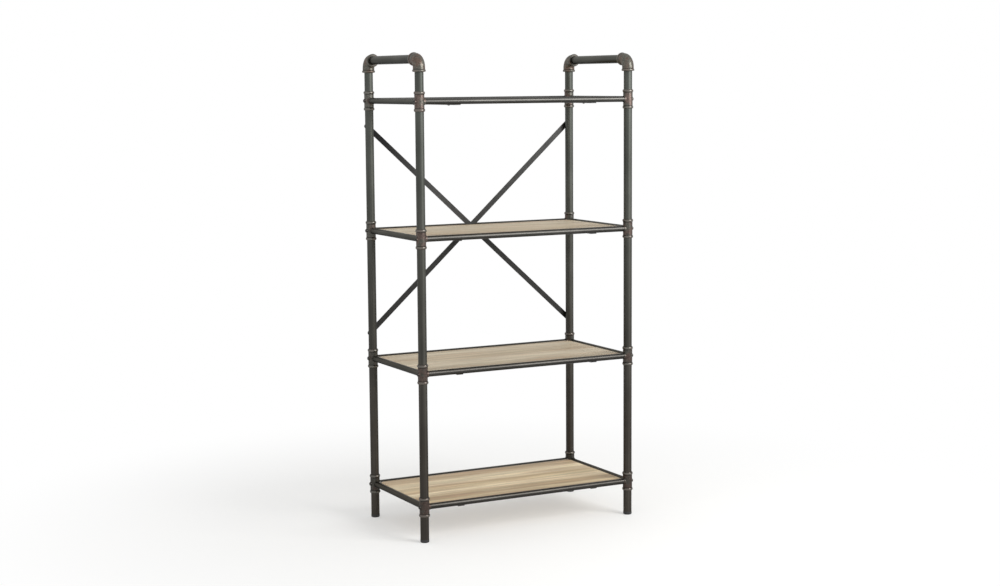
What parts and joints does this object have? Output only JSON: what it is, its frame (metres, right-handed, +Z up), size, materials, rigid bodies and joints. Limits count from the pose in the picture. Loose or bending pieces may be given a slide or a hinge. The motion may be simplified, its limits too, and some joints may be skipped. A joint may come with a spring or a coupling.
{
  "type": "etagere",
  "caption": "Tall open etagere of dark steel tubes in cast sleeve fittings, with oak shelf boards, a bent loop over each end frame and a flat-bar cross brace at the back.",
  "frame": {"origin": "on the floor, midway between the four posts", "axes": "+Z up; front is -Y, the side nearer the camera; +X is the viewer's right, along the shelves"},
  "size_m": [0.923, 0.4958, 1.7835],
  "materials": {
    "tube_steel": "dark gunmetal satin, faintly streaked along the tube",
    "cast_fittings": "dark gunmetal casting with brown weathering, satin",
    "flat_bar": "dark grey satin",
    "fasteners": "blackened satin",
    "black_plastic": "matt black moulding",
    "oak": "satin lacquered oak, grain along the board"
  },
  "bodies": {
    "root": {"foot_glide_left_front": "black_plastic", "post_left_front": "tube_steel", "elbow_left_front": "cast_fittings", "fitting_bottom_left_front": "cast_fittings", "fitting_lower_left_front": "cast_fittings", "fitting_upper_left_front": "cast_fittings", "fitting_top_left_front": "cast_fittings", "foot_glide_right_front": "black_plastic", "post_right_front": "tube_steel", "elbow_right_front": "cast_fittings", "fitting_bottom_right_front": "cast_fittings", "fitting_lower_right_front": "cast_fittings", "fitting_upper_right_front": "cast_fittings", "fitting_top_right_front": "cast_fittings", "foot_glide_left_rear": "black_plastic", "post_left_rear": "tube_steel", "elbow_left_rear": "cast_fittings", "fitting_bottom_left_rear": "cast_fittings", "fitting_lower_left_rear": "cast_fittings", "fitting_upper_left_rear": "cast_fittings", "fitting_top_left_rear": "cast_fittings", "foot_glide_right_rear": "black_plastic", "post_right_rear": "tube_steel", "elbow_right_rear": "cast_fittings", "fitting_bottom_right_rear": "cast_fittings", "fitting_lower_right_rear": "cast_fittings", "fitting_upper_right_rear": "cast_fittings", "fitting_top_right_rear": "cast_fittings", "loop_pipe_left": "tube_steel", "side_rail_bottom_left": "tube_steel", "side_rail_lower_left": "tube_steel", "side_rail_upper_left": "tube_steel", "side_rail_top_left": "tube_steel", "loop_pipe_right": "tube_steel", "side_rail_bottom_right": "tube_steel", "side_rail_lower_right": "tube_steel", "side_rail_upper_right": "tube_steel", "side_rail_top_right": "tube_steel", "front_rail_bottom": "tube_steel", "rear_rail_bottom": "tube_steel", "shelf_straps_bottom": "flat_bar", "shelf_panel_bottom": "oak", "front_rail_lower": "tube_steel", "rear_rail_lower": "tube_steel", "shelf_straps_lower": "flat_bar", "shelf_panel_lower": "oak", "front_rail_upper": "tube_steel", "rear_rail_upper": "tube_steel", "shelf_straps_upper": "flat_bar", "shelf_panel_upper": "oak", "front_rail_top": "tube_steel", "rear_rail_top": "tube_steel", "shelf_straps_top": "flat_bar", "shelf_panel_top": "oak", "brace_bar_front": "flat_bar", "brace_bar_rear": "flat_bar", "brace_fixings": "fasteners", "rail_inserts": "fasteners", "shelf_bolts": "fasteners", "panel_screws": "fasteners"}
  },
  "joints": []
}
